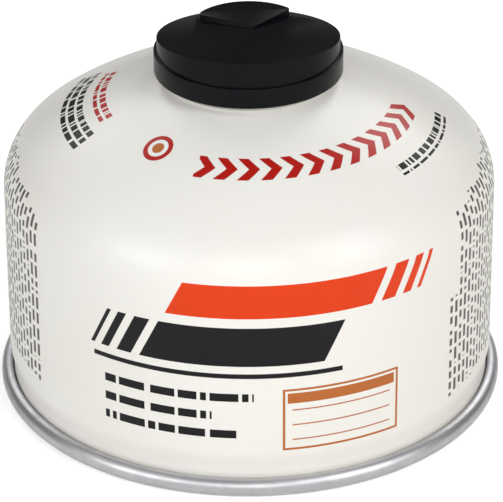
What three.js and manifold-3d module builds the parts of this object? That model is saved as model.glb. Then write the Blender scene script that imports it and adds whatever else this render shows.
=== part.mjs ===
// Small screw-valve gas canister, 110 g size, with its black push-on cap.
// Millimetres, +Z up, origin at the middle of the standing ring, -Y is the front.
import * as THREE from 'three';
import { mergeVertices } from 'three/addons/utils/BufferGeometryUtils.js';
import Module from 'manifold-3d';

// General clearances
const seatGap = 0.3;
const slideGap = 0.4;

// Drawn steel body
const bodyRadius = 43.3;
const shoulderRound = 10.9;
const shoulderSweep = 55;
const domeRound = 77;
const grooveDepth = 0.6;
const grooveReveal = 0.9;
const grooveRunOut = 1.5;
const bodyLap = 0.9;

// Base end and its double seam
const seamProud = 1.7;
const seamHeight = 3.4;
const seamRound = 0.7;
const seamFoot = 0.3;
const endSheet = 0.6;
const countersink = 4.6;
const panelRound = 1.6;
const panelRise = 6.5;

// Rolled neck of the body, round the 25 mm opening
const curlCentre = 13.85;
const curlRound = 0.95;
const curlHeight = 60.4;
const neckSet = 0.7;
const neckLength = 0.5;
const neckFillet = 1.2;

// Valve mounting cup
const cupSheet = 0.4;
const cupDepth = 5.4;
const cupCorner = 1.1;
const cupCurlEnd = -35;
const crimpDrop = 2.4;
const crimpReach = 0.5;
const crimpHalf = 0.9;
const wellGap = 0.6;

// Threaded collar, 7/16-28 UNEF outside
const threadDiameter = 11.11;
const threadPitch = 0.907;
const threadDepth = 0.55;
const threadFlank = 0.4;
const threadTurns = 7;
const collarHeight = 9.4;
const collarLead = 0.45;
const collarWall = 0.605;
const lipReach = 1.5;
const lipThickness = 0.8;

// Valve inside the collar
const gasketThickness = 1;
const housingLength = 14;
const housingWall = 1.1;
const housingFloor = 1.2;
const inletHole = 1;
const stemRadius = 1.5;
const stemGap = 0.35;
const stemBore = 0.7;
const stemProud = 0.2;
const stemBoreDepth = 2.6;
const discGap = 0.5;
const discThickness = 1;
const pinRadius = 1.1;
const pinLength = 4;
const springWire = 0.5;
const springTurns = 6;
const springGap = 0.65;

// Push-on cap: a skirt, a narrower band and a roof that falls towards the back,
// with a level pad whose plan is a blunt arrow pointing at the front
const capWall = 0.7;
const stepGap = 1.25;
const bandSet = 0.55;
const headroom = 1.1;
const roofThickness = 0.9;
const roofSlope = 7.8;
const padDrop = 0.1;
const padInset = 1.15;
const padRound = 10;
const padTip = [1.1, 4.15];
const padShoulderLeft = [-8.45, 9.15];
const padShoulderRight = [7.2, 11.3];
const sleeveWall = 0.9;
const sleeveGrip = 2.8;

// Blocks that trim the cap are larger than the cap
const cutterSize = 120;

// Fineness of the round forms
const bodySides = 48;
const capSides = 48;
const cupSides = 32;
const valveSides = 20;
const wireSides = 6;
const wireStepsPerTurn = 12;

const wasm = await Module();
wasm.setup();

const at = (radius, height) => new THREE.Vector2(radius, height);

// Points of an arc round a centre, between two angles in degrees
function arc(centre, radius, from, to, steps) {
  return Array.from({ length: steps + 1 }, (_, i) => {
    const angle = THREE.MathUtils.degToRad(THREE.MathUtils.lerp(from, to, i / steps));
    return at(centre.x + radius * Math.cos(angle), centre.y + radius * Math.sin(angle));
  });
}

// Joins equal corners and leaves out triangles with no area
function weld(geometry) {
  const bare = geometry.clone();
  bare.deleteAttribute('normal');
  bare.deleteAttribute('uv');
  const welded = mergeVertices(bare, 1e-4);
  const corners = welded.index.array;
  const kept = [];
  for (let i = 0; i < corners.length; i += 3) {
    const [a, b, c] = corners.slice(i, i + 3);
    if (a !== b && b !== c && c !== a) kept.push(a, b, c);
  }
  welded.setIndex(kept);
  welded.computeVertexNormals();
  return welded;
}

// Turns an outline of radius and height about the Z axis
function turn(outline, sides) {
  const lathe = new THREE.LatheGeometry(outline, sides);
  lathe.rotateX(Math.PI / 2);
  return weld(lathe);
}

// A closed geometry as a solid for joining and cutting
function solid(geometry) {
  const welded = weld(geometry);
  return new wasm.Manifold(new wasm.Mesh({
    numProp: 3,
    vertProperties: new Float32Array(welded.attributes.position.array),
    triVerts: new Uint32Array(welded.index.array),
  }));
}

// A solid back as a geometry
function geometryOf(body) {
  const mesh = body.getMesh();
  const geometry = new THREE.BufferGeometry();
  geometry.setAttribute('position', new THREE.BufferAttribute(mesh.vertProperties, 3));
  geometry.setIndex(new THREE.BufferAttribute(mesh.triVerts, 1));
  geometry.computeVertexNormals();
  return geometry;
}

// Sizes that follow from the ones above
const groove = bodyRadius - grooveDepth;
const seamRadius = bodyRadius + seamProud;
const seamInner = groove + seatGap;
const lapInner = groove - bodyLap;
const chuckWall = lapInner - seatGap;
const endInner = chuckWall - endSheet;
const neckRadius = curlCentre + neckSet;
const opening = curlCentre - curlRound - seatGap;
const cupInner = opening - cupSheet;
const cupCurl = curlRound + seatGap + cupSheet;
const cupFloor = curlHeight - cupDepth;
const floorTop = cupFloor + cupSheet;
const crimpHeight = curlHeight - crimpDrop;
const collarTop = cupFloor + collarHeight;
const threadMajor = threadDiameter / 2;
const threadMinor = threadMajor - threadDepth;
const threadTop = collarTop - collarLead;
const threadBottom = threadTop - threadTurns * threadPitch;
const collarBore = threadMinor - collarWall;
const lipHole = collarBore - lipReach;
const lipUnder = collarTop - lipThickness;
const valveRadius = collarBore - seatGap;
const housingBore = valveRadius - housingWall;
const gasketHole = stemRadius + stemGap;
const gasketTop = lipUnder - seatGap;
const gasketBottom = gasketTop - gasketThickness;
const housingTop = gasketBottom - seatGap;
const housingBottom = housingTop - housingLength;
const discTop = gasketBottom - seatGap;
const discBottom = discTop - discThickness;
const springTop = discBottom - seatGap;
const springBottom = housingBottom + housingFloor + seatGap;
const springMean = housingBore - springGap - springWire / 2;
const capBottom = curlHeight;
const capInner = curlCentre + cupCurl + seatGap;
const skirtRadius = capInner + capWall;
const stepHeight = curlHeight + cupCurl + stepGap + capWall;
const bandRadius = skirtRadius - bandSet;
const roofHeight = collarTop + headroom + roofThickness;
const padHeight = roofHeight - padDrop;
const padMiddle = bandRadius - padInset - padRound;
const sleeveBottom = collarTop - sleeveGrip;

// The base end's domed panel, or a surface at a distance above it, out to a radius
function panel(lift, rim, steps) {
  const span = endInner - panelRound;
  const round = (span * span + panelRise * panelRise) / (2 * panelRise);
  const sweep = THREE.MathUtils.radToDeg(Math.asin(rim / (round + lift)));
  const centre = at(0, countersink + panelRise - round);
  return arc(centre, round + lift, 90, 90 - sweep, steps);
}

// Neck fillet, dome and shoulder touch each other smoothly, so each centre follows from the one above it
function canBody() {
  const turnIn = THREE.MathUtils.degToRad(shoulderSweep);
  const domeSet = domeRound - shoulderRound;
  const filletCentre = at(neckRadius + neckFillet, curlHeight - neckLength);
  const domeCentreRadius = bodyRadius - shoulderRound - domeSet * Math.cos(turnIn);
  const filletReach = filletCentre.x - domeCentreRadius;
  const filletRise = Math.sqrt((domeRound + neckFillet) ** 2 - filletReach ** 2);
  const domeCentre = at(domeCentreRadius, filletCentre.y - filletRise);
  const shoulderCentre = at(bodyRadius - shoulderRound, domeCentre.y + domeSet * Math.sin(turnIn));
  const domeEnd = THREE.MathUtils.radToDeg(Math.atan2(filletRise, filletReach));
  const curl = at(curlCentre, curlHeight);
  const curlStart = -THREE.MathUtils.radToDeg(Math.acos(neckSet / curlRound));
  const grooveTop = seamHeight + grooveReveal;
  const wellRadius = opening + crimpReach + wellGap;
  const wellFloor = cupFloor - wellGap;
  const valveWell = valveRadius + slideGap;
  return turn([
    ...panel(endSheet + seatGap, endInner - panelRound, 4),
    at(lapInner, countersink + endSheet + seatGap),
    at(lapInner, endSheet + seatGap),
    at(groove, endSheet + seatGap),
    at(groove, grooveTop),
    at(bodyRadius, grooveTop + grooveRunOut),
    ...arc(shoulderCentre, shoulderRound, 0, shoulderSweep, 6),
    ...arc(domeCentre, domeRound, shoulderSweep, domeEnd, 4).slice(1),
    ...arc(filletCentre, neckFillet, domeEnd - 180, -180, 2).slice(1),
    ...arc(curl, curlRound, curlStart, 180, 6),
    at(curlCentre - curlRound, crimpHeight + crimpHalf + seatGap),
    at(wellRadius, crimpHeight + crimpHalf),
    at(wellRadius, wellFloor),
    at(valveWell, wellFloor),
    at(valveWell, housingBottom - slideGap),
    at(0, housingBottom - slideGap),
  ], bodySides);
}

function baseEnd() {
  const edge = endInner - panelRound;
  const corner = at(edge, countersink - panelRound);
  const outer = seamRadius - seamRound;
  return turn([
    ...panel(0, edge, 4),
    ...arc(corner, panelRound, 90, 0, 2).slice(1),
    ...arc(at(endInner + seamFoot, seamFoot), seamFoot, -180, -90, 1),
    ...arc(at(outer, seamRound), seamRound, -90, 0, 2),
    ...arc(at(outer, seamHeight - seamRound), seamRound, 0, 90, 2),
    ...arc(at(seamInner + seamRound, seamHeight - seamRound), seamRound, 90, 180, 1),
    at(seamInner, endSheet),
    at(chuckWall, endSheet),
    ...arc(corner, panelRound + endSheet, 0, 90, 2),
    ...panel(endSheet, edge, 4).reverse().slice(1),
  ], bodySides);
}

// One turn of the thread as a ring, from its root up to the end of its flat crest
function threadRidge(turnNumber) {
  const root = threadBottom + turnNumber * threadPitch;
  return [
    at(threadMinor, root),
    at(threadMajor, root + threadPitch * threadFlank),
    at(threadMajor, root + threadPitch * (1 - threadFlank)),
  ];
}

function valveCup() {
  const curl = at(curlCentre, curlHeight);
  const floorCorner = at(cupInner - cupCorner, floorTop + cupCorner);
  const collarFoot = at(threadMinor + cupCorner, floorTop + cupCorner);
  return turn([
    at(collarBore, cupFloor),
    at(opening - cupCorner, cupFloor),
    ...arc(floorCorner, cupCorner + cupSheet, -90, 0, 2).slice(1),
    at(opening, crimpHeight - crimpHalf),
    at(opening + crimpReach, crimpHeight),
    at(opening, crimpHeight + crimpHalf),
    ...arc(curl, cupCurl - cupSheet, 180, cupCurlEnd, 6),
    ...arc(curl, cupCurl, cupCurlEnd, 180, 8),
    at(cupInner, crimpHeight + crimpHalf),
    at(cupInner + crimpReach, crimpHeight),
    at(cupInner, crimpHeight - crimpHalf),
    ...arc(floorCorner, cupCorner, 0, -90, 2),
    ...arc(collarFoot, cupCorner, -90, -180, 2),
    ...Array.from({ length: threadTurns }, (_, i) => threadRidge(i)).flat(),
    at(threadMinor, threadTop),
    at(threadMajor - collarLead, collarTop),
    at(lipHole, collarTop),
    at(lipHole, lipUnder),
    at(collarBore, lipUnder),
    at(collarBore, cupFloor),
  ], cupSides);
}

function stemGasket() {
  return turn([
    at(gasketHole, gasketBottom),
    at(valveRadius, gasketBottom),
    at(valveRadius, gasketTop),
    at(gasketHole, gasketTop),
    at(gasketHole, gasketBottom),
  ], valveSides);
}

function valveHousing() {
  const chamfer = housingWall / 2;
  return turn([
    at(inletHole, housingBottom),
    at(valveRadius - chamfer, housingBottom),
    at(valveRadius, housingBottom + chamfer),
    at(valveRadius, housingTop),
    at(housingBore, housingTop),
    at(housingBore, housingBottom + housingFloor),
    at(inletHole, housingBottom + housingFloor),
    at(inletHole, housingBottom),
  ], valveSides);
}

function valveStem() {
  const top = lipUnder + stemProud;
  const pinEnd = discBottom - pinLength;
  const tip = pinRadius / 2;
  const disc = housingBore - discGap;
  return turn([
    at(0, pinEnd),
    at(pinRadius - tip, pinEnd),
    at(pinRadius, pinEnd + tip),
    at(pinRadius, discBottom),
    at(disc, discBottom),
    at(disc, discTop),
    at(stemRadius, discTop),
    at(stemRadius, top),
    at(stemBore, top),
    at(stemBore, top - stemBoreDepth),
    at(0, top - stemBoreDepth),
  ], valveSides);
}

// Centre line of the spring's wire
class Coil extends THREE.Curve {
  getPoint(t, target = new THREE.Vector3()) {
    const angle = t * springTurns * 2 * Math.PI;
    const low = springBottom + springWire / 2;
    const high = springTop - springWire / 2;
    return target.set(
      springMean * Math.cos(angle),
      springMean * Math.sin(angle),
      THREE.MathUtils.lerp(low, high, t),
    );
  }
}

function valveSpring() {
  const section = new THREE.Shape();
  const wire = springWire / 2;
  for (let i = 0; i < wireSides; i += 1) {
    const angle = (i / wireSides) * 2 * Math.PI;
    const [x, y] = [wire * Math.cos(angle), wire * Math.sin(angle)];
    if (i === 0) section.moveTo(x, y);
    else section.lineTo(x, y);
  }
  section.closePath();
  return weld(new THREE.ExtrudeGeometry(section, {
    steps: springTurns * wireStepsPerTurn,
    bevelEnabled: false,
    extrudePath: new Coil(),
  }));
}

// Everything under a plane that falls towards the back, through a height on the axis
function underSlope(height) {
  const block = new THREE.BoxGeometry(cutterSize, cutterSize, cutterSize);
  block.translate(0, 0, -cutterSize / 2);
  block.rotateX(-THREE.MathUtils.degToRad(roofSlope));
  block.translate(0, 0, height);
  return solid(block);
}

// A round bar between two heights
function bar(radius, from, to) {
  return solid(turn([at(0, from), at(radius, from), at(radius, to), at(0, to)], capSides));
}

// The pad's plan, an arrow with a round back, drawn in on every side by a wall, as an upright bar
// from the skirt to a height
function padBar(wall, top) {
  const [tipX, tipY] = padTip;
  const [rightX, rightY] = padShoulderRight;
  const [leftX, leftY] = padShoulderLeft;
  const rightRise = (rightY - tipY) / (rightX - tipX);
  const leftRise = (leftY - tipY) / (tipX - leftX);
  const rightShift = wall * Math.hypot(1, rightRise);
  const leftShift = wall * Math.hypot(1, leftRise);
  const shiftX = (leftShift - rightShift) / (leftRise + rightRise);
  const plan = new THREE.Shape([
    at(tipX + shiftX, tipY + rightShift + rightRise * shiftX),
    at(rightX - wall, rightY + rightShift - rightRise * wall),
    at(rightX - wall, cutterSize / 2),
    at(leftX + wall, cutterSize / 2),
    at(leftX + wall, leftY + leftShift - leftRise * wall),
  ]);
  const prism = new THREE.ExtrudeGeometry(plan, { depth: top - capBottom, bevelEnabled: false });
  prism.translate(0, 0, capBottom);
  return solid(prism).intersect(bar(padRound - wall, capBottom, top).translate(0, padMiddle, 0));
}

// The wall stays even under the pad, so the hollow rises into it
function protectiveCap() {
  const tall = roofHeight + bandRadius;
  const below = capBottom - capWall;
  const skirt = bar(skirtRadius, capBottom, stepHeight);
  const band = bar(bandRadius, stepHeight - capWall, tall).intersect(underSlope(roofHeight));
  const pad = padBar(0, padHeight);
  const lowerHollow = bar(capInner, below, stepHeight - capWall);
  const upperHollow = bar(bandRadius - capWall, below, tall)
    .intersect(underSlope(roofHeight - roofThickness));
  const padHollow = padBar(capWall, padHeight - roofThickness);
  const sleeveBore = threadMajor + slideGap;
  const sleeve = bar(sleeveBore + sleeveWall, sleeveBottom, tall)
    .subtract(bar(sleeveBore, below, tall + capWall));
  const hollow = lowerHollow.add(upperHollow).add(padHollow).subtract(sleeve);
  return geometryOf(skirt.add(band).add(pad).subtract(hollow));
}

const ivoryEnamel = { color: 0xebeae6, roughness: 0.35, metalness: 0 };
const tinplate = { color: 0xb9bbbd, roughness: 0.3, metalness: 1 };
const brightTinplate = { color: 0xc9c7c0, roughness: 0.28, metalness: 1 };
const blackPlastic = { color: 0x17181b, roughness: 0.45, metalness: 0 };
const naturalAcetal = { color: 0xe6e2d4, roughness: 0.5, metalness: 0 };
const nitrileRubber = { color: 0x1b1b1c, roughness: 0.8, metalness: 0 };
const springSteel = { color: 0x8d9094, roughness: 0.3, metalness: 1 };

// A named piece with a finish of its own
function piece(name, geometry, finish) {
  const mesh = new THREE.Mesh(geometry, new THREE.MeshStandardMaterial(finish));
  mesh.name = name;
  return mesh;
}

const canister = new THREE.Group();
canister.add(
  piece('can_body', canBody(), ivoryEnamel),
  piece('base_end', baseEnd(), tinplate),
  piece('valve_cup', valveCup(), brightTinplate),
  piece('stem_gasket', stemGasket(), nitrileRubber),
  piece('valve_housing', valveHousing(), naturalAcetal),
  piece('valve_stem', valveStem(), naturalAcetal),
  piece('valve_spring', valveSpring(), springSteel),
  piece('protective_cap', protectiveCap(), blackPlastic),
);

export default canister;
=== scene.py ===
import math
import bmesh
import bpy
from mathutils import Matrix, Vector


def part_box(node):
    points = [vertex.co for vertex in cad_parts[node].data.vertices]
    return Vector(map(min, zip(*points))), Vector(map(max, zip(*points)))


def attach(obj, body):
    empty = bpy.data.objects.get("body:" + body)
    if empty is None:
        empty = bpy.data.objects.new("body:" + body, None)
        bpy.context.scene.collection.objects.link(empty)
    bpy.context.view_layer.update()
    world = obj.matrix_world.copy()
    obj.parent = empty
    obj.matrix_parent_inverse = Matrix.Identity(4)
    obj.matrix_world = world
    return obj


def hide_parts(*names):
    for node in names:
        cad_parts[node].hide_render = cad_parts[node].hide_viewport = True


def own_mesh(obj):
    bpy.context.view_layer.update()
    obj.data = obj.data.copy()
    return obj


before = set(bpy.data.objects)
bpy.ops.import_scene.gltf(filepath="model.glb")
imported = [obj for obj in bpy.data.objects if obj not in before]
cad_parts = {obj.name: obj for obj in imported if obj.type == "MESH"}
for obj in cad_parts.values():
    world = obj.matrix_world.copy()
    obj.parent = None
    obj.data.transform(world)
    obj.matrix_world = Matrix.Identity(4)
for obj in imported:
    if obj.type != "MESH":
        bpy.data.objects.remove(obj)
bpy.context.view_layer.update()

mm = 0.001


def linear(hexColour):
    channels = [int(hexColour[i : i + 2], 16) / 255 for i in (0, 2, 4)]
    return tuple(c / 12.92 if c < 0.04045 else ((c + 0.055) / 1.055) ** 2.4 for c in channels) + (1.0,)


def addNode(tree, kind, links=None, **settings):
    # a link is a socket, or a node that gives its first output; anything else is a fixed value
    node = tree.nodes.new(kind)
    for name, value in settings.items():
        setattr(node, name, value)
    for socket, value in (links or {}).items():
        if isinstance(value, bpy.types.Node):
            value = value.outputs[0]
        if isinstance(value, bpy.types.NodeSocket):
            tree.links.new(value, node.inputs[socket])
        else:
            node.inputs[socket].default_value = value
    return node


# Camera, where the photograph was taken from

cameraPlace = {
    "distance": 560.0,
    "height": 327.8,
    "pitch": 28.48,
    "pan": 0.036,
    "roll": -0.3,
    "focalPixels": 3561.4,
    "imageWidth": 503,
}


def makeCamera(place):
    data = bpy.data.cameras.new("camera")
    data.sensor_width = 36.0
    data.lens = place["focalPixels"] / place["imageWidth"] * data.sensor_width
    data.clip_start, data.clip_end = 0.01, 20.0
    camera = bpy.data.objects.new("camera", data)
    bpy.context.collection.objects.link(camera)
    turn = (Matrix.Rotation(math.radians(-place["pan"]), 4, "Z")
            @ Matrix.Rotation(math.radians(90 - place["pitch"]), 4, "X")
            @ Matrix.Rotation(math.radians(place["roll"]), 4, "Z"))
    camera.matrix_world = Matrix.Translation((0, -place["distance"] * mm, place["height"] * mm)) @ turn
    bpy.context.scene.camera = camera


makeCamera(cameraPlace)
print("camera ready")


# Geometry trees

weld = 1e-6  # metres; points closer than this are one
onWallWithin = 1e-5  # metres; how near a point lies to the wall that a thread is cut in
crispAngle = 35.0
wireSteps = 40
wireSides = 14

def newTree(name, sockets):
    tree = bpy.data.node_groups.new(name, "GeometryNodeTree")
    for label, kind in sockets.items():
        tree.interface.new_socket(label, in_out="INPUT", socket_type="NodeSocket" + kind)
    tree.interface.new_socket("Piece", in_out="OUTPUT", socket_type="NodeSocketGeometry")
    return tree, addNode(tree, "NodeGroupInput").outputs


def finishTree(tree, geometry, finish):
    # faces are smooth, and an edge is crisp where its faces meet at more than the crisp angle
    angle = addNode(tree, "GeometryNodeInputMeshEdgeAngle")
    crisp = addNode(tree, "FunctionNodeCompare", {0: angle, 1: math.radians(crispAngle)},
                    operation="GREATER_THAN")
    smooth = addNode(tree, "GeometryNodeSetShadeSmooth", {"Geometry": geometry})
    edges = addNode(tree, "GeometryNodeSetShadeSmooth",
                    {"Geometry": smooth, "Selection": crisp, "Shade Smooth": False}, domain="EDGE")
    real = addNode(tree, "GeometryNodeRealizeInstances", {0: edges})
    coated = addNode(tree, "GeometryNodeSetMaterial", {"Geometry": real, "Material": finish})
    addNode(tree, "NodeGroupOutput", {0: coated})
    return tree


def turningTree():
    # lays the outline at every step round the Z axis, skins the copies and closes seam and poles
    tree, given = newTree("turned outline", {"Outline": "Geometry", "Sides": "Int", "Finish": "Material"})
    count = addNode(tree, "GeometryNodeAttributeDomainSize", {0: given["Outline"]}, component="MESH")
    points = count.outputs["Point Count"]
    columns = addNode(tree, "ShaderNodeMath", {0: given["Sides"], 1: 1.0}, operation="ADD")
    grid = addNode(tree, "GeometryNodeMeshGrid", {"Vertices X": columns, "Vertices Y": points})
    index = addNode(tree, "GeometryNodeInputIndex")
    steps = addNode(tree, "ShaderNodeMath", {0: index, 1: points}, operation="DIVIDE")
    column = addNode(tree, "ShaderNodeMath", {0: steps}, operation="FLOOR")
    row = addNode(tree, "ShaderNodeMath", {0: index, 1: points}, operation="MODULO")
    sample = {"Geometry": given["Outline"], "Index": row}
    place = addNode(tree, "GeometryNodeInputPosition")
    point = addNode(tree, "GeometryNodeSampleIndex", sample, data_type="FLOAT_VECTOR")
    tree.links.new(place.outputs[0], point.inputs["Value"])
    path = addNode(tree, "GeometryNodeInputNamedAttribute", {"Name": "path"}, data_type="FLOAT")
    walked = addNode(tree, "GeometryNodeSampleIndex", sample, data_type="FLOAT")
    tree.links.new(path.outputs[0], walked.inputs["Value"])
    parts = addNode(tree, "ShaderNodeSeparateXYZ", {0: point}).outputs
    turn = addNode(tree, "ShaderNodeMath", {0: column, 1: given["Sides"]}, operation="DIVIDE")
    angle = addNode(tree, "ShaderNodeMath", {0: turn, 1: 2 * math.pi}, operation="MULTIPLY")
    cosine = addNode(tree, "ShaderNodeMath", {0: angle}, operation="COSINE")
    sine = addNode(tree, "ShaderNodeMath", {0: angle}, operation="SINE")
    x = addNode(tree, "ShaderNodeMath", {0: parts["X"], 1: cosine}, operation="MULTIPLY")
    y = addNode(tree, "ShaderNodeMath", {0: parts["X"], 1: sine}, operation="MULTIPLY")
    spot = addNode(tree, "ShaderNodeCombineXYZ", {0: x, 1: y, 2: parts["Z"]})
    laid = addNode(tree, "GeometryNodeSetPosition", {"Geometry": grid.outputs["Mesh"], "Position": spot})
    marked = addNode(tree, "GeometryNodeStoreNamedAttribute",
                     {"Geometry": laid, "Name": "path", "Value": walked}, data_type="FLOAT", domain="POINT")
    closed = addNode(tree, "GeometryNodeMergeByDistance", {"Geometry": marked, "Distance": weld})
    return finishTree(tree, closed, given["Finish"])


def threadingTree():
    # pushes a plain wall out into a right-hand helical ridge that fades at both ends
    tree, given = newTree("cut thread", {
        "Blank": "Geometry", "Root": "Float", "Depth": "Float", "Pitch": "Float", "Flank": "Float",
        "Bottom": "Float", "Top": "Float", "Finish": "Material"})
    place = addNode(tree, "GeometryNodeInputPosition")
    parts = addNode(tree, "ShaderNodeSeparateXYZ", {0: place}).outputs
    across = addNode(tree, "ShaderNodeCombineXYZ", {0: parts["X"], 1: parts["Y"]})
    radius = addNode(tree, "ShaderNodeVectorMath", {0: across}, operation="LENGTH").outputs["Value"]
    onWall = addNode(tree, "ShaderNodeMath", {0: radius, 1: given["Root"], 2: onWallWithin},
                     operation="COMPARE")
    bearing = addNode(tree, "ShaderNodeMath", {0: parts["Y"], 1: parts["X"]}, operation="ARCTAN2")
    turn = addNode(tree, "ShaderNodeMath", {0: bearing, 1: 2 * math.pi}, operation="DIVIDE")
    above = addNode(tree, "ShaderNodeMath", {0: parts["Z"], 1: given["Bottom"]}, operation="SUBTRACT")
    under = addNode(tree, "ShaderNodeMath", {0: given["Top"], 1: parts["Z"]}, operation="SUBTRACT")
    climb = addNode(tree, "ShaderNodeMath", {0: above, 1: given["Pitch"]}, operation="DIVIDE")
    wound = addNode(tree, "ShaderNodeMath", {0: climb, 1: turn}, operation="SUBTRACT")
    phase = addNode(tree, "ShaderNodeMath", {0: wound}, operation="FRACT")
    rest = addNode(tree, "ShaderNodeMath", {0: 1.0, 1: phase}, operation="SUBTRACT")
    inward = addNode(tree, "ShaderNodeMath", {0: phase, 1: rest}, operation="MINIMUM")
    ridge = addNode(tree, "ShaderNodeMath", {0: inward, 1: given["Flank"]}, operation="DIVIDE",
                    use_clamp=True)
    rise = addNode(tree, "ShaderNodeMath", {0: above, 1: given["Pitch"]}, operation="DIVIDE", use_clamp=True)
    fall = addNode(tree, "ShaderNodeMath", {0: under, 1: given["Pitch"]}, operation="DIVIDE", use_clamp=True)
    ends = addNode(tree, "ShaderNodeMath", {0: rise, 1: fall}, operation="MINIMUM")
    raised = addNode(tree, "ShaderNodeMath", {0: ridge, 1: onWall}, operation="MULTIPLY")
    height = addNode(tree, "ShaderNodeMath", {0: raised, 1: ends}, operation="MULTIPLY")
    push = addNode(tree, "ShaderNodeMath", {0: height, 1: given["Depth"]}, operation="MULTIPLY")
    outwards = addNode(tree, "ShaderNodeVectorMath", {0: across}, operation="NORMALIZE")
    offset = addNode(tree, "ShaderNodeVectorMath", {0: outwards, "Scale": push}, operation="SCALE")
    cut = addNode(tree, "GeometryNodeSetPosition", {"Geometry": given["Blank"], "Offset": offset})
    return finishTree(tree, cut, given["Finish"])


def coilTree():
    # round wire wound along a helix
    tree, given = newTree("wound wire", {
        "Blank": "Geometry", "Turns": "Float", "Radius": "Float", "Length": "Float", "Foot": "Float",
        "Wire": "Float", "Finish": "Material"})
    helix = addNode(tree, "GeometryNodeCurveSpiral", {
        "Resolution": wireSteps, "Rotations": given["Turns"], "Start Radius": given["Radius"],
        "End Radius": given["Radius"], "Height": given["Length"]})
    section = addNode(tree, "GeometryNodeCurvePrimitiveCircle",
                      {"Resolution": wireSides, "Radius": given["Wire"]})
    swept = addNode(tree, "GeometryNodeCurveToMesh",
                    {"Curve": helix, "Profile Curve": section, "Fill Caps": True})
    lift = addNode(tree, "ShaderNodeCombineXYZ", {2: given["Foot"]})
    placed = addNode(tree, "GeometryNodeTransform", {"Geometry": swept, "Translation": lift})
    return finishTree(tree, placed, given["Finish"])


def madeByTree(name, tree, mesh, values):
    host = bpy.data.objects.new(name + "Host", mesh)
    bpy.context.collection.objects.link(host)
    modifier = host.modifiers.new("shape", "NODES")
    modifier.node_group = tree
    for item in tree.interface.items_tree:
        if item.in_out == "INPUT" and item.name in values:
            modifier[item.identifier] = values[item.name]
    evaluated = host.evaluated_get(bpy.context.evaluated_depsgraph_get())
    made = bpy.data.meshes.new_from_object(evaluated)
    host.modifiers.clear()
    bpy.data.objects.remove(host)
    return placedPiece(name, made)


def placedPiece(name, mesh):
    work = bmesh.new()
    work.from_mesh(mesh)
    bmesh.ops.recalc_face_normals(work, faces=work.faces)
    work.to_mesh(mesh)
    work.free()
    mesh.name = name
    piece = bpy.data.objects.new(name, mesh)
    bpy.context.collection.objects.link(piece)
    return piece


def outlineMesh(name, outline):
    # each point also holds the distance walked along the outline, set so that it is the height on the
    # widest wall
    walked = [0.0]
    for start, end in zip(outline, outline[1:]):
        walked.append(walked[-1] + math.dist(start, end))
    widest = max(range(len(outline)), key=lambda i: outline[i][0])
    mesh = bpy.data.meshes.new(name)
    points = [(r * mm, 0, z * mm) for r, z in outline]
    mesh.from_pydata(points, [(i, i + 1) for i in range(len(outline) - 1)], [])
    path = mesh.attributes.new("path", "FLOAT", "POINT")
    path.data.foreach_set("value", [w - walked[widest] + outline[widest][1] for w in walked])
    return mesh


def turned(name, outline, finish, sides):
    blank = outlineMesh(name + "Outline", outline)
    return madeByTree(name, turnTree, blank, {"Sides": sides, "Finish": finish})


def arc(centre, radius, start, end, steps):
    angles = [math.radians(start + (end - start) * i / steps) for i in range(steps + 1)]
    return [(centre[0] + radius * math.cos(a), centre[1] + radius * math.sin(a)) for a in angles]


turnTree = turningTree()
threadTree = threadingTree()
springTree = coilTree()
print("geometry trees ready")


# Materials

def startMaterial(name):
    material = bpy.data.materials.new(name)
    material.use_nodes = True
    tree = material.node_tree
    tree.nodes.clear()
    shader = addNode(tree, "ShaderNodeBsdfPrincipled")
    addNode(tree, "ShaderNodeOutputMaterial", {"Surface": shader.outputs[0]})
    place = addNode(tree, "ShaderNodeTexCoord").outputs["Object"]
    scaled = addNode(tree, "ShaderNodeVectorMath", {0: place, 1: (1 / mm,) * 3}, operation="MULTIPLY")
    return material, tree, shader, scaled


# Enamelled tinplate, roller-coated and stoved: an even ivory skin with a soft gloss and a very slight
# orange peel, over-printed with flat fields of ink. The drift and the peel are sizes in millimetres.
enamelLook = {
    "ivory": "EBEAE8",
    "warmIvory": "E8E4DA",
    "orange": "DA3A00",
    "charcoal": "0B0B0D",
    "red": "AC1810",
    "tan": "B5662E",
    "grey": "4E4B4A",
    "roughness": 0.32,
    "specular": 0.26,
    "refraction": 1.5,
    "coat": 0.05,
    "coatRoughness": 0.15,
    "driftSize": 50.0,
    "peelSize": 1.4,
    "peelDepth": 0.012,
    "peelStrength": 0.2,
}
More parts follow.
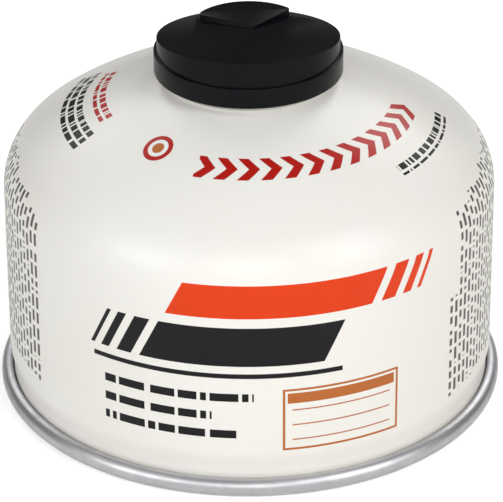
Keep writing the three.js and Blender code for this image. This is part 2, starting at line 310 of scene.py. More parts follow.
# Places on the label: across is measured round the body from its front, up along its skin from the ground.
# A stripe is its middle, its height and its blocks. Bricks are lengths and shifts of rows of bars, and ink is
# the share of a row's height that its bars fill. Bearings are degrees from the front.
label = {
    "lean": 0.5,
    "upperStripe": (37.6, 6.2, (-13.0, 23.0), (24.8, 27.6), (29.2, 31.0), (32.4, 33.3)),
    "lowerStripe": (29.0, 7.4, (-27.4, -26.6), (-25.2, -23.6), (-22.0, -19.2), (-17.6, 14.6)),
    "hairline": (23.4, 0.9, (-28.6, 16.0)),
    "rows": ((19.2, -26.4, 0.6), (15.6, -26.4, -6.6), (12.0, -26.4, -2.4)),
    "rowHeight": 1.55,
    "rowPitch": 6.0,
    "rowBricks": (7.9, 12.7),
    "rowShift": 0.31,
    "rowDrift": 0.07,
    "rowInk": 0.9,
    "panelCentre": (16.2, 14.6),
    "panelSize": (21.4, 12.0),
    "panelLine": 0.42,
    "panelHead": 2.0,
    "panelRules": 3,
    "ruleWeight": 0.6,
    "ruleStart": 0.7,
    "columns": ((-43.2, 11.0, 42.0), (-44.7, 11.4, 43.6), (-49.2, 11.8, 45.2), (-58.2, 12.6, 46.8),
                (39.6, 9.0, 28.6), (42.6, 9.6, 44.0), (48.6, 10.2, 45.4), (57.6, 10.8, 46.6)),
    "columnsEnd": 80.0,
    "columnPitch": 1.5,
    "columnBricks": ((3.1, 0.37), (7.3, 0.61)),
    "columnInk": 0.5,
    "ringRadius": 27.2,
    "ringWidth": 4.2,
    "ringFrom": -19.0,
    "ringTo": 84.0,
    "chevronPitch": 8.0,
    "chevronLean": 2.0,
    "arcs": ((30.9, 4.2, -116.0, -66.0, "charcoal"), (26.0, 2.5, -112.0, -70.0, "red"),
             (33.4, 2.2, 50.0, 90.0, "charcoal")),
    "arcPitch": 1.55,
    "arcBricks": ((3.1, 0.4), (5.3, 0.2)),
    "arcInk": 0.7,
    "roundel": (-37.0, 25.6, 2.6),
    "roundelRings": ((1.0, "red"), (0.68, "ivory"), (0.4, "tan")),
}


def boxMask(tree, across, up, centre, size):
    # 1 inside a box on the label and 0 outside it
    wide = addNode(tree, "ShaderNodeMath", {0: across, 1: centre[0], 2: size[0] / 2}, operation="COMPARE")
    tall = addNode(tree, "ShaderNodeMath", {0: up, 1: centre[1], 2: size[1] / 2}, operation="COMPARE")
    return addNode(tree, "ShaderNodeMath", {0: wide, 1: tall}, operation="MULTIPLY")


def barsInk(tree, field, along, across, pitch, foot, bricks, share):
    # rows of short plain bars inside a field; brick patterns laid over each other vary the lengths
    shifted = addNode(tree, "ShaderNodeMath", {0: across, 1: foot}, operation="SUBTRACT")
    place = addNode(tree, "ShaderNodeCombineXYZ", {0: along, 1: shifted})
    ink = field
    for length, shift in bricks:
        pattern = addNode(tree, "ShaderNodeTexBrick", {
            "Vector": place, "Scale": 1.0, "Mortar Smooth": 0.0, "Mortar Size": pitch * (1 - share) / 2,
            "Brick Width": length, "Row Height": pitch},
            offset=shift, offset_frequency=2, squash=0.7, squash_frequency=3)
        bars = addNode(tree, "ShaderNodeMath", {0: 1.0, 1: pattern.outputs["Fac"]}, operation="SUBTRACT")
        ink = addNode(tree, "ShaderNodeMath", {0: ink, 1: bars}, operation="MULTIPLY")
    return ink


def stripeInk(tree, across, up, lean, stripe):
    # a row of leaning blocks of one height
    centre, height, *blocks = stripe
    rise = addNode(tree, "ShaderNodeMath", {0: up, 1: centre}, operation="SUBTRACT")
    slanted = addNode(tree, "ShaderNodeMath", {0: rise, 1: -lean, 2: across}, operation="MULTIPLY_ADD")
    ink = 0.0
    for start, end in blocks:
        reach = {0: slanted, 1: (start + end) / 2, 2: (end - start) / 2}
        block = addNode(tree, "ShaderNodeMath", reach, operation="COMPARE")
        ink = addNode(tree, "ShaderNodeMath", {0: ink, 1: block}, operation="ADD")
    band = addNode(tree, "ShaderNodeMath", {0: up, 1: centre, 2: height / 2}, operation="COMPARE")
    return addNode(tree, "ShaderNodeMath", {0: ink, 1: band}, operation="MULTIPLY")


def panelInk(tree, across, up, plan):
    # a ruled panel left blank: its frame, its filled head and its rules
    centre, size, line = plan["panelCentre"], plan["panelSize"], plan["panelLine"]
    outer = boxMask(tree, across, up, centre, size)
    inner = boxMask(tree, across, up, centre, (size[0] - 2 * line, size[1] - 2 * line))
    ink = addNode(tree, "ShaderNodeMath", {0: outer, 1: inner}, operation="SUBTRACT")
    headHeight = centre[1] + size[1] / 2 - line * 2 - plan["panelHead"] / 2
    bars = [(headHeight, size[0] - line * 4, plan["panelHead"])]
    room = size[1] - plan["panelHead"] - line * 3
    for i in range(plan["panelRules"]):
        height = centre[1] - size[1] / 2 + room * (i + plan["ruleStart"]) / plan["panelRules"]
        bars.append((height, size[0] - line * 8, line * plan["ruleWeight"]))
    for height, width, thickness in bars:
        bar = boxMask(tree, across, up, (centre[0], height), (width, thickness))
        ink = addNode(tree, "ShaderNodeMath", {0: ink, 1: bar}, operation="ADD")
    return ink


def arrowsInk(tree, degrees, radius, plan):
    # a ring of arrowheads on the shoulder, pointing the way a stove screws on
    middle, span = (plan["ringFrom"] + plan["ringTo"]) / 2, plan["ringTo"] - plan["ringFrom"]
    field = boxMask(tree, degrees, radius, (middle, plan["ringRadius"]), (span, plan["ringWidth"]))
    offset = addNode(tree, "ShaderNodeMath", {0: radius, 1: plan["ringRadius"]}, operation="SUBTRACT")
    side = addNode(tree, "ShaderNodeMath", {0: offset}, operation="ABSOLUTE")
    skewed = addNode(tree, "ShaderNodeMath", {0: side, 1: plan["chevronLean"], 2: degrees},
                     operation="MULTIPLY_ADD")
    step = addNode(tree, "ShaderNodeMath", {0: skewed, 1: plan["chevronPitch"]}, operation="FLOORED_MODULO")
    arrow = addNode(tree, "ShaderNodeMath", {0: step, 1: plan["chevronPitch"] / 2}, operation="LESS_THAN")
    return addNode(tree, "ShaderNodeMath", {0: field, 1: arrow}, operation="MULTIPLY")


def enamelMaterial(look, plan, bodyRadius):
    material, tree, shader, scaled = startMaterial("stoved enamel on tinplate")
    parts = addNode(tree, "ShaderNodeSeparateXYZ", {0: scaled}).outputs
    forward = addNode(tree, "ShaderNodeMath", {0: parts["Y"], 1: -1.0}, operation="MULTIPLY")
    bearing = addNode(tree, "ShaderNodeMath", {0: parts["X"], 1: forward}, operation="ARCTAN2")
    across = addNode(tree, "ShaderNodeMath", {0: bearing, 1: bodyRadius}, operation="MULTIPLY")
    degrees = addNode(tree, "ShaderNodeMath", {0: bearing}, operation="DEGREES")
    up = addNode(tree, "ShaderNodeAttribute", attribute_name="path").outputs["Fac"]
    flat = addNode(tree, "ShaderNodeCombineXYZ", {0: parts["X"], 1: parts["Y"]})
    radius = addNode(tree, "ShaderNodeVectorMath", {0: flat}, operation="LENGTH").outputs["Value"]

    # the inks in the order in which they are printed: broad leaning stripes and a hairline first
    inks = [
        (stripeInk(tree, across, up, plan["lean"], plan["upperStripe"]), "orange"),
        (stripeInk(tree, across, up, plan["lean"], plan["lowerStripe"]), "charcoal"),
        (stripeInk(tree, across, up, 0.0, plan["hairline"]), "charcoal"),
    ]

    # left-aligned rows of bars, then the panel
    for row, start, end in plan["rows"]:
        field = boxMask(tree, across, up, ((start + end) / 2, row), (end - start, plan["rowHeight"]))
        bricks = zip(plan["rowBricks"], (plan["rowShift"], row * plan["rowDrift"]))
        foot = row - plan["rowPitch"] / 2
        bars = barsInk(tree, field, across, up, plan["rowPitch"], foot, bricks, plan["rowInk"])
        inks.append((bars, "charcoal"))
    inks.append((panelInk(tree, across, up, plan), "tan"))

    # columns of small bars at both sides, each block with its own top
    blocks = plan["columns"]
    for i, (start, low, high) in enumerate(blocks):
        side = math.copysign(1, start)
        last = i + 1 == len(blocks) or blocks[i + 1][0] * side < 0
        end = side * plan["columnsEnd"] if last else blocks[i + 1][0]
        middle = ((start + end) / 2, (low + high) / 2)
        field = boxMask(tree, across, up, middle, (abs(end - start), high - low))
        bars = barsInk(tree, field, up, across, plan["columnPitch"], start, plan["columnBricks"],
                       plan["columnInk"])
        inks.append((bars, "grey"))

    # arrowheads, and arcs of bars beside them
    inks.append((arrowsInk(tree, degrees, radius, plan), "red"))
    for ring, width, start, end, ink in plan["arcs"]:
        field = boxMask(tree, degrees, radius, ((start + end) / 2, ring), (end - start, width))
        along = addNode(tree, "ShaderNodeMath", {0: degrees, 1: math.radians(1) * ring}, operation="MULTIPLY")
        bars = barsInk(tree, field, along, radius, plan["arcPitch"], ring - width / 2, plan["arcBricks"],
                       plan["arcInk"])
        inks.append((bars, ink))

    # small roundel
    bearingAt, radiusAt, size = plan["roundel"]
    heading = math.radians(bearingAt)
    spot = (radiusAt * math.sin(heading), -radiusAt * math.cos(heading), 0.0)
    away = addNode(tree, "ShaderNodeVectorMath", {0: flat, 1: spot}, operation="DISTANCE").outputs["Value"]
    for share, ink in plan["roundelRings"]:
        disc = addNode(tree, "ShaderNodeMath", {0: away, 1: size * share}, operation="LESS_THAN")
        inks.append((disc, ink))

    # the enamel's tone drifts slowly from cool to warm under the inks
    drift = addNode(tree, "ShaderNodeTexNoise",
                    {"Vector": scaled, "Scale": 1 / look["driftSize"], "Detail": 2.0})
    colour = addNode(tree, "ShaderNodeMix",
                     {0: drift, 6: linear(look["ivory"]), 7: linear(look["warmIvory"])}, data_type="RGBA")
    for mask, ink in inks:
        colour = addNode(tree, "ShaderNodeMix", {0: mask, 6: colour.outputs[2], 7: linear(look[ink])},
                         data_type="RGBA")

    tree.links.new(colour.outputs[2], shader.inputs["Base Color"])
    shader.inputs["Roughness"].default_value = look["roughness"]
    shader.inputs["IOR"].default_value = look["refraction"]
    shader.inputs["Coat Weight"].default_value = look["coat"]
    shader.inputs["Specular IOR Level"].default_value = look["specular"]
    shader.inputs["Coat Roughness"].default_value = look["coatRoughness"]
    peel = addNode(tree, "ShaderNodeTexNoise",
                   {"Vector": scaled, "Scale": 1 / look["peelSize"], "Detail": 3.0})
    bump = addNode(tree, "ShaderNodeBump",
                   {"Strength": look["peelStrength"], "Distance": look["peelDepth"] * mm, "Height": peel})
    tree.links.new(bump.outputs[0], shader.inputs["Normal"])
    return material


# Bare tinplate, rolled and drawn: bright grey metal with fine lines left by the rolls, a little cloudy.
tinplateLook = {
    "metal": "D9D9DC",
    "dark": "BABABE",
    "roughness": 0.44,
    "roughnessSpread": (-0.06, 0.1),
    "lineSpacing": 0.3,
    "lineDepth": 0.008,
    "lineStrength": 0.35,
    "cloudsPerMm": 0.3,
}


def tinplateMaterial(name, look):
    material, tree, shader, scaled = startMaterial(name)
    path = addNode(tree, "ShaderNodeAttribute", attribute_name="path").outputs["Fac"]
    lines = addNode(tree, "ShaderNodeTexNoise", {"W": path, "Scale": 1 / look["lineSpacing"], "Detail": 3.0},
                    noise_dimensions="1D")
    cloud = addNode(tree, "ShaderNodeTexNoise",
                    {"Vector": scaled, "Scale": look["cloudsPerMm"], "Detail": 4.0})
    colour = addNode(tree, "ShaderNodeMix", {0: cloud, 6: linear(look["metal"]), 7: linear(look["dark"])},
                     data_type="RGBA")
    tree.links.new(colour.outputs[2], shader.inputs["Base Color"])
    shader.inputs["Metallic"].default_value = 1.0
    smoothest, roughest = [look["roughness"] + change for change in look["roughnessSpread"]]
    rough = addNode(tree, "ShaderNodeMapRange", {"Value": cloud, "To Min": smoothest, "To Max": roughest})
    tree.links.new(rough.outputs[0], shader.inputs["Roughness"])
    bump = addNode(tree, "ShaderNodeBump",
                   {"Strength": look["lineStrength"], "Distance": look["lineDepth"] * mm, "Height": lines})
    tree.links.new(bump.outputs[0], shader.inputs["Normal"])
    return material


# Moulded plastic and rubber: an even low gloss, with the faint grain of a spark-eroded mould.
mouldLook = {
    "colour": "07090C",
    "roughness": 0.3,
    "roughnessSpread": (-0.05, 0.08),
    "grain": 0.3,
    "grainDepth": 0.014,
    "grainStrength": 0.3,
    "hazePerMm": 0.12,
    "hazeLift": 1.25,
    "specular": 0.14,
}


def mouldedMaterial(name, look):
    material, tree, shader, scaled = startMaterial(name)
    grain = addNode(tree, "ShaderNodeTexNoise", {"Vector": scaled, "Scale": 1 / look["grain"], "Detail": 2.0})
    haze = addNode(tree, "ShaderNodeTexNoise", {"Vector": scaled, "Scale": look["hazePerMm"], "Detail": 3.0})
    base = linear(look["colour"])
    lighter = tuple(min(1.0, c * look["hazeLift"]) for c in base[:3]) + (1.0,)
    colour = addNode(tree, "ShaderNodeMix", {0: haze, 6: base, 7: lighter}, data_type="RGBA")
    tree.links.new(colour.outputs[2], shader.inputs["Base Color"])
    shader.inputs["Specular IOR Level"].default_value = look["specular"]
    smoothest, roughest = [look["roughness"] + change for change in look["roughnessSpread"]]
    rough = addNode(tree, "ShaderNodeMapRange", {"Value": haze, "To Min": smoothest, "To Max": roughest})
    tree.links.new(rough.outputs[0], shader.inputs["Roughness"])
    bump = addNode(tree, "ShaderNodeBump",
                   {"Strength": look["grainStrength"], "Distance": look["grainDepth"] * mm, "Height": grain})
    tree.links.new(bump.outputs[0], shader.inputs["Normal"])
    return material


bodyLow, bodyHigh = [tuple(v / mm for v in corner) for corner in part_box("can_body")]
seamHigh = [tuple(v / mm for v in corner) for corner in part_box("base_end")][1]
capLow, capHigh = [tuple(v / mm for v in corner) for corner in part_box("protective_cap")]
enamel = enamelMaterial(enamelLook, label, bodyHigh[0])
seamTin = tinplateMaterial("rolled tinplate", tinplateLook)
cupTin = tinplateMaterial("drawn tinplate", {
    **tinplateLook, "metal": "D4D1C9", "dark": "B8B5AE", "roughness": 0.22})
capPlastic = mouldedMaterial("moulded black polyethylene", mouldLook)
acetal = mouldedMaterial("moulded natural acetal", {**mouldLook, "colour": "E6E2D4", "roughness": 0.4})
nitrile = mouldedMaterial("moulded nitrile rubber", {**mouldLook, "colour": "1B1B1C", "roughness": 0.62})
springSteel = tinplateMaterial("drawn stainless wire", {**tinplateLook, "metal": "9DA0A4", "dark": "8A8D91"})
print("materials ready")


# Body, drawn from sheet: wall, shoulder, dome and rolled neck touch each other smoothly

seatGap = 0.3
slideGap = 0.4
neck = {
    "curlCentre": 13.85,
    "curlRound": 0.95,
    "curlHeight": 60.4,
    "set": 0.7,
    "length": 0.5,
    "fillet": 1.2,
}
can = {
    "shoulderRound": 10.9,
    "shoulderSweep": 55.0,
    "domeRound": 77.0,
    "grooveDepth": 0.6,
    "grooveTop": 4.3,
    "grooveRunOut": 4.2,
    "lap": 0.9,
    "wellRadius": 13.7,
    "wellFloor": 54.4,
    "crimpTop": 58.9,
    "valveWell": 4.5,
    "valveWellFloor": 47.6,
}
seam = {
    "height": 3.4,
    "round": 1.6,
    "innerRound": 0.5,
    "foot": 0.3,
    "sheet": 0.6,
    "countersink": 4.6,
    "panelRound": 1.6,
    "panelRise": 6.5,
}
groove = bodyHigh[0] - can["grooveDepth"]
chuckWall = groove - can["lap"] - seatGap
endInner = chuckWall - seam["sheet"]


def panelArc(lift, steps):
    # the base end's domed panel, or a surface at a distance above it, from the axis outwards
    span = endInner - seam["panelRound"]
    rounding = (span**2 + seam["panelRise"] ** 2) / (2 * seam["panelRise"])
    sweep = math.degrees(math.asin(span / (rounding + lift)))
    centre = (0, seam["countersink"] + seam["panelRise"] - rounding)
    return arc(centre, rounding + lift, 90, 90 - sweep, steps)


def makeBody(size, throat):
    wall = bodyHigh[0]
    sweep = math.radians(size["shoulderSweep"])
    domeSet = size["domeRound"] - size["shoulderRound"]
    fillet = (throat["curlCentre"] + throat["set"] + throat["fillet"],
              throat["curlHeight"] - throat["length"])
    domeRadius = wall - size["shoulderRound"] - domeSet * math.cos(sweep)
    reach = fillet[0] - domeRadius
    rise = math.sqrt((size["domeRound"] + throat["fillet"]) ** 2 - reach**2)
    dome = (domeRadius, fillet[1] - rise)
    shoulder = (wall - size["shoulderRound"], dome[1] + domeSet * math.sin(sweep))
    domeEnd = math.degrees(math.atan2(rise, reach))
    curl = (throat["curlCentre"], throat["curlHeight"])
    curlStart = -math.degrees(math.acos(throat["set"] / throat["curlRound"]))
    runOut = [(groove + size["grooveDepth"] * (1 - math.cos(math.pi * i / 8)) / 2,
               size["grooveTop"] + size["grooveRunOut"] * i / 8) for i in range(9)]
    outline = [
        *panelArc(seam["sheet"] + seatGap, 12),
        (groove - size["lap"], seam["countersink"] + seam["sheet"] + seatGap),
        (groove - size["lap"], bodyLow[2]),
        (groove, bodyLow[2]),
        *runOut,
        *arc(shoulder, size["shoulderRound"], 0, size["shoulderSweep"], 36),
        *arc(dome, size["domeRound"], size["shoulderSweep"], domeEnd, 40)[1:],
        *arc(fillet, throat["fillet"], domeEnd - 180, -180, 10)[1:],
        *arc(curl, throat["curlRound"], curlStart, 180, 24),
        (curl[0] - throat["curlRound"], size["crimpTop"] + seatGap),
        (size["wellRadius"], size["crimpTop"]),
        (size["wellRadius"], size["wellFloor"]),
        (size["valveWell"], size["wellFloor"]),
        (size["valveWell"], size["valveWellFloor"]),
        (0, size["valveWellFloor"]),
    ]
    return turned("canBody", outline, enamel, 320)


body = makeBody(can, neck)
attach(body, "can")
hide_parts("can_body")
print("body ready")


# Base end, rolled on with a double seam

def makeBaseEnd(size):
    edge = endInner - size["panelRound"]
    corner = (edge, size["countersink"] - size["panelRound"])
    outer = seamHigh[0] - size["round"]
    inner = groove + seatGap
    lip = size["innerRound"]
    outline = [
        *panelArc(0, 24),
        *arc(corner, size["panelRound"], 90, 0, 10)[1:],
        *arc((endInner + size["foot"], size["foot"]), size["foot"], -180, -90, 5),
        *arc((outer, size["round"]), size["round"], -90, 0, 12),
        *arc((outer, size["height"] - size["round"]), size["round"], 0, 90, 12),
        *arc((inner + lip, size["height"] - lip), lip, 90, 180, 8),
        (inner, size["sheet"]),
        (chuckWall, size["sheet"]),
        *arc(corner, size["panelRound"] + size["sheet"], 0, 90, 10),
        *reversed(panelArc(size["sheet"], 24)[:-1]),
    ]
    return turned("rolledBaseEnd", outline, seamTin, 320)


baseEnd = makeBaseEnd(seam)
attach(baseEnd, "can")
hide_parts("base_end")
print("base end ready")


# Valve cup, crimped over the neck, with the threaded collar drawn up in its middle

cup = {
    "sheet": 0.4,
    "floor": 55.0,
    "corner": 1.1,
    "curlEnd": -35.0,
    "crimpHeight": 58.0,
    "crimpReach": 0.5,
    "crimpHalf": 0.9,
    "collarTop": 64.4,
    "collarLead": 0.45,
    "collarWall": 0.605,
    "lipReach": 1.5,
    "lipThickness": 0.8,
    "threadMajor": 5.555,
    "threadDepth": 0.55,
    "threadPitch": 0.907,
    "threadFlank": 0.4,
    "threadTurns": 7,
}
threadRoot = cup["threadMajor"] - cup["threadDepth"]
threadTop = cup["collarTop"] - cup["collarLead"]
threadBottom = threadTop - cup["threadTurns"] * cup["threadPitch"]
collarBore = threadRoot - cup["collarWall"]


def makeValveCup(size, throat):
    curl = (throat["curlCentre"], throat["curlHeight"])
    inside = throat["curlRound"] + seatGap
    opening = curl[0] - inside
    inner = opening - size["sheet"]
    floorTop = size["floor"] + size["sheet"]
    corner = (inner - size["corner"], floorTop + size["corner"])
    foot = (threadRoot + size["corner"], floorTop + size["corner"])
    crimpSteps = 8
    shares = [i / crimpSteps for i in range(-crimpSteps, crimpSteps + 1)]
    crimp = [(size["crimpReach"] * (1 + math.cos(math.pi * s)) / 2, size["crimpHalf"] * s) for s in shares]
    threadSteps = 90
    threadHeight = threadTop - threadBottom
    lipHole = collarBore - size["lipReach"]
    lipUnder = size["collarTop"] - size["lipThickness"]
    outline = [
        (collarBore, size["floor"]),
        *arc(corner, size["corner"] + size["sheet"], -90, 0, 12),
        *((opening + bulge, size["crimpHeight"] + height) for bulge, height in crimp),
        *arc(curl, inside, 180, size["curlEnd"], 30),
        *arc(curl, inside + size["sheet"], size["curlEnd"], 180, 36),
        *((inner + bulge, size["crimpHeight"] + height) for bulge, height in reversed(crimp)),
        *arc(corner, size["corner"], 0, -90, 10),
        *arc(foot, size["corner"], -90, -180, 10),
        *((threadRoot, threadBottom + threadHeight * i / threadSteps) for i in range(threadSteps + 1)),
        (size["threadMajor"] - size["collarLead"], size["collarTop"]),
        (lipHole, size["collarTop"]),
        (lipHole, lipUnder),
        (collarBore, lipUnder),
        (collarBore, size["floor"]),
    ]
    blank = turned("cupBlank", outline, cupTin, 192)
    mesh = blank.data
    bpy.data.objects.remove(blank)
    return madeByTree("valveCup", threadTree, mesh, {
        "Root": threadRoot * mm, "Depth": size["threadDepth"] * mm, "Pitch": size["threadPitch"] * mm,
        "Flank": size["threadFlank"], "Bottom": threadBottom * mm, "Top": threadTop * mm, "Finish": cupTin})


valveCup = makeValveCup(cup, neck)
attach(valveCup, "can")
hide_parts("valve_cup")
print("valve cup ready")


# Valve inside the collar

valve = {
    "gasketThickness": 1.0,
    "gasketHole": 1.85,
    "housingLength": 14.0,
    "housingWall": 1.1,
    "housingFloor": 1.2,
    "inletHole": 1.0,
    "stemRadius": 1.5,
    "stemBore": 0.7,
    "stemProud": 0.2,
    "stemBoreDepth": 2.6,
    "discGap": 0.5,
    "discThickness": 1.0,
    "pinRadius": 1.1,
    "pinLength": 4.0,
    "edge": 0.15,
    "wire": 0.5,
    "turns": 6.0,
    "springGap": 0.65,
    "travel": 1.6,
}
valveRadius = collarBore - seatGap
gasketTop = cup["collarTop"] - cup["lipThickness"] - seatGap
gasketBottom = gasketTop - valve["gasketThickness"]
housingTop = gasketBottom - seatGap
housingBottom = housingTop - valve["housingLength"]
housingBore = valveRadius - valve["housingWall"]
discBottom = housingTop - valve["discThickness"]


def eased(points, edge):
    # cuts each inner corner of an outline back by a small edge on both sides
    out = [points[0]]
    for before, here, after in zip(points, points[1:], points[2:]):
        for other in (before, after):
            share = min(0.4, edge / math.dist(here, other))
            out.append((here[0] + (other[0] - here[0]) * share, here[1] + (other[1] - here[1]) * share))
    return out + [points[-1]]


def makeGasket(size):
    middle = (gasketBottom + gasketTop) / 2
    outline = [
        (size["gasketHole"], middle),
        (size["gasketHole"], gasketBottom),
        (valveRadius, gasketBottom),
        (valveRadius, gasketTop),
        (size["gasketHole"], gasketTop),
        (size["gasketHole"], middle),
    ]
    return turned("stemGasket", eased(outline, size["edge"]), nitrile, 96)


def makeHousing(size):
    chamfer = size["housingWall"] / 2
    floor = housingBottom + size["housingFloor"]
    middle = (housingBottom + floor) / 2
    outline = [
        (size["inletHole"], middle),
        (size["inletHole"], housingBottom),
        (valveRadius - chamfer, housingBottom),
        (valveRadius, housingBottom + chamfer),
        (valveRadius, housingTop),
        (housingBore, housingTop),
        (housingBore, floor),
        (size["inletHole"], floor),
        (size["inletHole"], middle),
    ]
    return turned("valveHousing", eased(outline, size["edge"]), acetal, 96)


def makeStem(size):
    top = cup["collarTop"] - cup["lipThickness"] + size["stemProud"]
    pinEnd = discBottom - size["pinLength"]
    disc = housingBore - size["discGap"]
    outline = [
        (0, pinEnd),
        (size["pinRadius"] / 2, pinEnd),
        (size["pinRadius"], pinEnd + size["pinRadius"] / 2),
        (size["pinRadius"], discBottom),
        (disc, discBottom),
        (disc, housingTop),
        (size["stemRadius"], housingTop),
        (size["stemRadius"], top),
        (size["stemBore"], top),
        (size["stemBore"], top - size["stemBoreDepth"]),
        (0, top - size["stemBoreDepth"]),
    ]
    return turned("valveStem", eased(outline, size["edge"]), acetal, 96)


def makeSpring(size):
    foot = housingBottom + size["housingFloor"] + seatGap + size["wire"] / 2
    head = discBottom - seatGap - size["wire"] / 2
    radius = housingBore - size["springGap"] - size["wire"] / 2
    blank = bpy.data.meshes.new("springBlank")
    return madeByTree("valveSpring", springTree, blank, {
        "Turns": size["turns"], "Radius": radius * mm, "Length": (head - foot) * mm, "Foot": foot * mm,
        "Wire": size["wire"] / 2 * mm, "Finish": springSteel})


gasket = makeGasket(valve)
housing = makeHousing(valve)
stem = makeStem(valve)
spring = makeSpring(valve)
for piece, node, holder, finish in (
    (gasket, "stem_gasket", "can", "gasket_rubber"),
    (housing, "valve_housing", "can", "valve_acetal"),
    (stem, "valve_stem", "stem", "valve_acetal"),
    (spring, "valve_spring", "can", "spring_steel"),
):
    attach(piece, holder)
    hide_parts(node)
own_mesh(spring)
print("valve ready")


# Push-on cap: a skirt, a narrower band, a roof that falls to the back and a level arrow pad

cap = {
    "wall": 0.7,
    "stepGap": 1.25,
    "bandSet": 0.55,
    "headroom": 1.1,
    "roofThickness": 0.9,
    "roofSlope": 7.8,
    "padDrop": 0.1,
    "padInset": 1.15,
    "padRound": 10.0,
    "padTip": (1.1, 4.15),
    "padLeft": (-8.45, 9.15),
    "padRight": (7.2, 11.3),
    "sleeveWall": 0.9,
    "sleeveGrip": 2.8,
    "edgeRound": 0.22,
    "edgeSteps": 3,
    "crispAngle": 32.0,
    "sides": 224,
    "cutter": 120.0,
}


def bar(radius, low, high, sides, middle=0.0):
    mesh = bpy.data.meshes.new("bar")
    work = bmesh.new()
    place = Matrix.Translation((0, middle * mm, (low + high) / 2 * mm))
    bmesh.ops.create_cone(work, cap_ends=True, segments=sides, radius1=radius * mm, radius2=radius * mm,
                          depth=(high - low) * mm, matrix=place)
    work.to_mesh(mesh)
    work.free()
    piece = bpy.data.objects.new("bar", mesh)
    bpy.context.collection.objects.link(piece)
    return piece


def prism(plan, low, high):
    mesh = bpy.data.meshes.new("prism")
    work = bmesh.new()
    base = work.faces.new([work.verts.new((x * mm, y * mm, low * mm)) for x, y in plan])
    top = bmesh.ops.extrude_face_region(work, geom=[base])["geom"]
    raised = [v for v in top if isinstance(v, bmesh.types.BMVert)]
    bmesh.ops.translate(work, vec=(0, 0, (high - low) * mm), verts=raised)
    bmesh.ops.recalc_face_normals(work, faces=work.faces)
    work.to_mesh(mesh)
    work.free()
    piece = bpy.data.objects.new("prism", mesh)
    bpy.context.collection.objects.link(piece)
    return piece


def combined(piece, operation, other):
    modifier = piece.modifiers.new("join", "BOOLEAN")
    modifier.operation, modifier.solver, modifier.object = operation, "EXACT", other
    made = bpy.data.meshes.new_from_object(piece.evaluated_get(bpy.context.evaluated_depsgraph_get()))
    piece.modifiers.clear()
    piece.data = made
    bpy.data.objects.remove(other)
    return piece


def underSlope(piece, height, size):
    # keeps what lies under the roof's plane
    half = size["cutter"] / 2
    block = prism(((-half, -half), (half, -half), (half, half), (-half, half)), -size["cutter"], 0)
    tilt = Matrix.Rotation(-math.radians(size["roofSlope"]), 4, "X")
    block.data.transform(Matrix.Translation((0, 0, height * mm)) @ tilt)
    return combined(piece, "INTERSECT", block)


def padPlan(size, wall):
    # the arrow plan, drawn in on every side by a wall
    (tipX, tipY), (rightX, rightY), (leftX, leftY) = size["padTip"], size["padRight"], size["padLeft"]
    rightRise, leftRise = (rightY - tipY) / (rightX - tipX), (leftY - tipY) / (tipX - leftX)
    rightShift, leftShift = wall * math.hypot(1, rightRise), wall * math.hypot(1, leftRise)
    shiftX = (leftShift - rightShift) / (leftRise + rightRise)
    back = size["cutter"] / 2
    return ((tipX + shiftX, tipY + rightShift + rightRise * shiftX),
            (rightX - wall, rightY + rightShift - rightRise * wall), (rightX - wall, back),
            (leftX + wall, back), (leftX + wall, leftY + leftShift - leftRise * wall))


def makeCap(size, throat):
    sides = size["sides"]
    low = capLow[2]
    cupCurl = throat["curlRound"] + seatGap + cup["sheet"]
    step = low + cupCurl + size["stepGap"] + size["wall"]
    skirtRadius = capHigh[0]
    bandRadius = skirtRadius - size["bandSet"]
    roof = cup["collarTop"] + size["headroom"] + size["roofThickness"]
    padTop = roof - size["padDrop"]
    padRound = size["padRound"]
    padMiddle = bandRadius - size["padInset"] - padRound
    tall = roof + bandRadius
    below = low - size["wall"]
    bore = cup["threadMajor"] + slideGap

    skirtHollow = bar(skirtRadius - size["wall"], below, step - size["wall"], sides)
    bandHollow = bar(bandRadius - size["wall"], below, tall, sides)
    hollow = combined(skirtHollow, "UNION", underSlope(bandHollow, roof - size["roofThickness"], size))
    padHollow = combined(prism(padPlan(size, size["wall"]), low, padTop - size["roofThickness"]), "INTERSECT",
                         bar(padRound - size["wall"], below, tall, sides, padMiddle))
    hollow = combined(hollow, "UNION", padHollow)
    grip = cup["collarTop"] - size["sleeveGrip"]
    sleeve = combined(bar(bore + size["sleeveWall"], grip, tall, sides), "DIFFERENCE",
                      bar(bore, below - 1, tall + 1, sides))
    hollow = combined(hollow, "DIFFERENCE", sleeve)
    pad = combined(prism(padPlan(size, 0), low, padTop), "INTERSECT",
                   bar(padRound, below, tall, sides, padMiddle))
    shell = underSlope(bar(bandRadius, step - size["wall"], tall, sides), roof, size)
    shell = combined(shell, "UNION", pad)
    shell = combined(shell, "UNION", bar(skirtRadius, low, step, sides))
    shell = combined(shell, "DIFFERENCE", hollow)

    soften = shell.modifiers.new("soften", "BEVEL")
    soften.width, soften.segments = size["edgeRound"] * mm, size["edgeSteps"]
    soften.limit_method, soften.angle_limit = "ANGLE", math.radians(size["crispAngle"])
    mesh = bpy.data.meshes.new_from_object(shell.evaluated_get(bpy.context.evaluated_depsgraph_get()))
    bpy.data.objects.remove(shell)
    work = bmesh.new()
    work.from_mesh(mesh)
    bmesh.ops.remove_doubles(work, verts=work.verts, dist=weld)
    for face in work.faces:
        face.smooth = True
    for edge in work.edges:
        bent = edge.calc_face_angle(0) >= math.radians(size["crispAngle"])
        edge.smooth = len(edge.link_faces) == 2 and not bent
    work.to_mesh(mesh)
    work.free()
    mesh.materials.clear()
    mesh.materials.append(capPlastic)
    return placedPiece("protectiveCap", mesh)


blackCap = makeCap(cap, neck)
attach(blackCap, "cap")
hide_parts("protective_cap")
print("cap ready")


# Stage and light

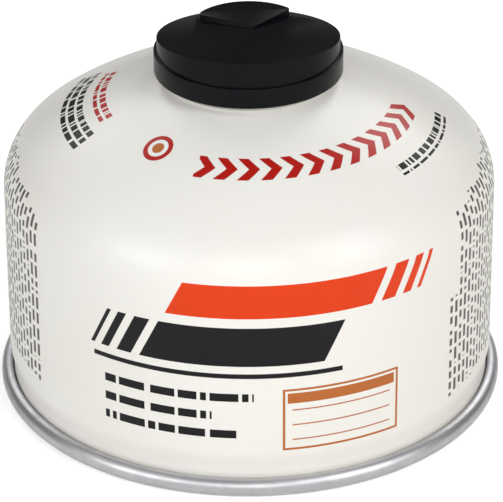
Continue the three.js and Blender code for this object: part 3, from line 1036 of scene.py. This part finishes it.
stage = {
    "floor": "EFEFED",
    "floorSize": 6.0,
    "floorRoughness": 0.9,
    "floorSpecular": 0.1,
    "floorGlow": 0.42,
    "floorSheen": 0.1,
    "shadowReach": 200.0,
    "ambient": 0.08,
    "mirrored": 0.04,
    "aim": 30.0,
    "away": 1000.0,
    "size": 450.0,
    "lamps": {
        "leftLow": (-50, 22, 3.5),
        "rightLow": (50, 22, 2.7),
        "rightHigh": (50, 45, 2.6),
        "front": (0, 25, 2.8),
        "leftHigh": (-75, 50, 0.7),
        "backLeft": (-150, 40, 1.9),
        "backRight": (150, 40, 2.7),
    },
}


def makeStage(size):
    bpy.ops.mesh.primitive_plane_add(size=size["floorSize"])
    floor = bpy.context.object
    floor.name = "floor"
    material, tree, shader, scaled = startMaterial("pale floor")
    shader.inputs["Base Color"].default_value = linear(size["floor"])
    shader.inputs["Roughness"].default_value = size["floorRoughness"]
    shader.inputs["Specular IOR Level"].default_value = size["floorSpecular"]
    ray = addNode(tree, "ShaderNodeLightPath").outputs
    sheen = {0: ray["Is Glossy Ray"], 1: size["floorSheen"], 2: ray["Is Camera Ray"]}
    seen = addNode(tree, "ShaderNodeMath", sheen, operation="MULTIPLY_ADD")
    shader.inputs["Emission Color"].default_value = (1, 1, 1, 1)
    reach = addNode(tree, "ShaderNodeVectorMath", {0: scaled}, operation="LENGTH").outputs["Value"]
    glow = addNode(tree, "ShaderNodeMapRange", {
        "Value": reach, "From Min": size["shadowReach"], "From Max": size["away"],
        "To Min": size["floorGlow"], "To Max": 1.0})
    strength = addNode(tree, "ShaderNodeMath", {0: seen, 1: glow}, operation="MULTIPLY")
    tree.links.new(strength.outputs[0], shader.inputs["Emission Strength"])
    floor.data.materials.append(material)

    # the camera sees white; metal and gloss see a dimmer room, which keeps the black cap black
    world = bpy.data.worlds.new("studio")
    bpy.context.scene.world = world
    world.use_nodes = True
    tree = world.node_tree
    tree.nodes.clear()
    ray = addNode(tree, "ShaderNodeLightPath").outputs
    mirror = addNode(tree, "ShaderNodeMath", {0: ray["Is Glossy Ray"], 1: ray["Is Transmission Ray"]},
                     operation="MAXIMUM")
    dim = addNode(tree, "ShaderNodeMix", {0: mirror, 2: size["ambient"], 3: size["mirrored"]}).outputs[0]
    level = addNode(tree, "ShaderNodeMix", {0: ray["Is Camera Ray"], 2: dim, 3: 1.0}).outputs[0]
    light = addNode(tree, "ShaderNodeBackground", {"Color": (1, 1, 1, 1), "Strength": level})
    addNode(tree, "ShaderNodeOutputWorld", {"Surface": light.outputs[0]})


def softbox(name, size):
    bearing, rise, power = size["lamps"][name]
    bearing, rise = math.radians(bearing), math.radians(rise)
    target = Vector((0, 0, size["aim"] * mm))
    away = Vector((math.sin(bearing) * math.cos(rise), -math.cos(bearing) * math.cos(rise), math.sin(rise)))
    data = bpy.data.lights.new(name, "AREA")
    data.size = size["size"] * mm
    data.energy = power
    lamp = bpy.data.objects.new(name, data)
    bpy.context.collection.objects.link(lamp)
    lamp.location = target + away * size["away"] * mm
    lamp.rotation_euler = away.to_track_quat("Z", "Y").to_euler()


makeStage(stage)
for lampName in stage["lamps"]:
    softbox(lampName, stage)
bpy.context.scene.view_settings.view_transform = "Standard"
print("stage ready")
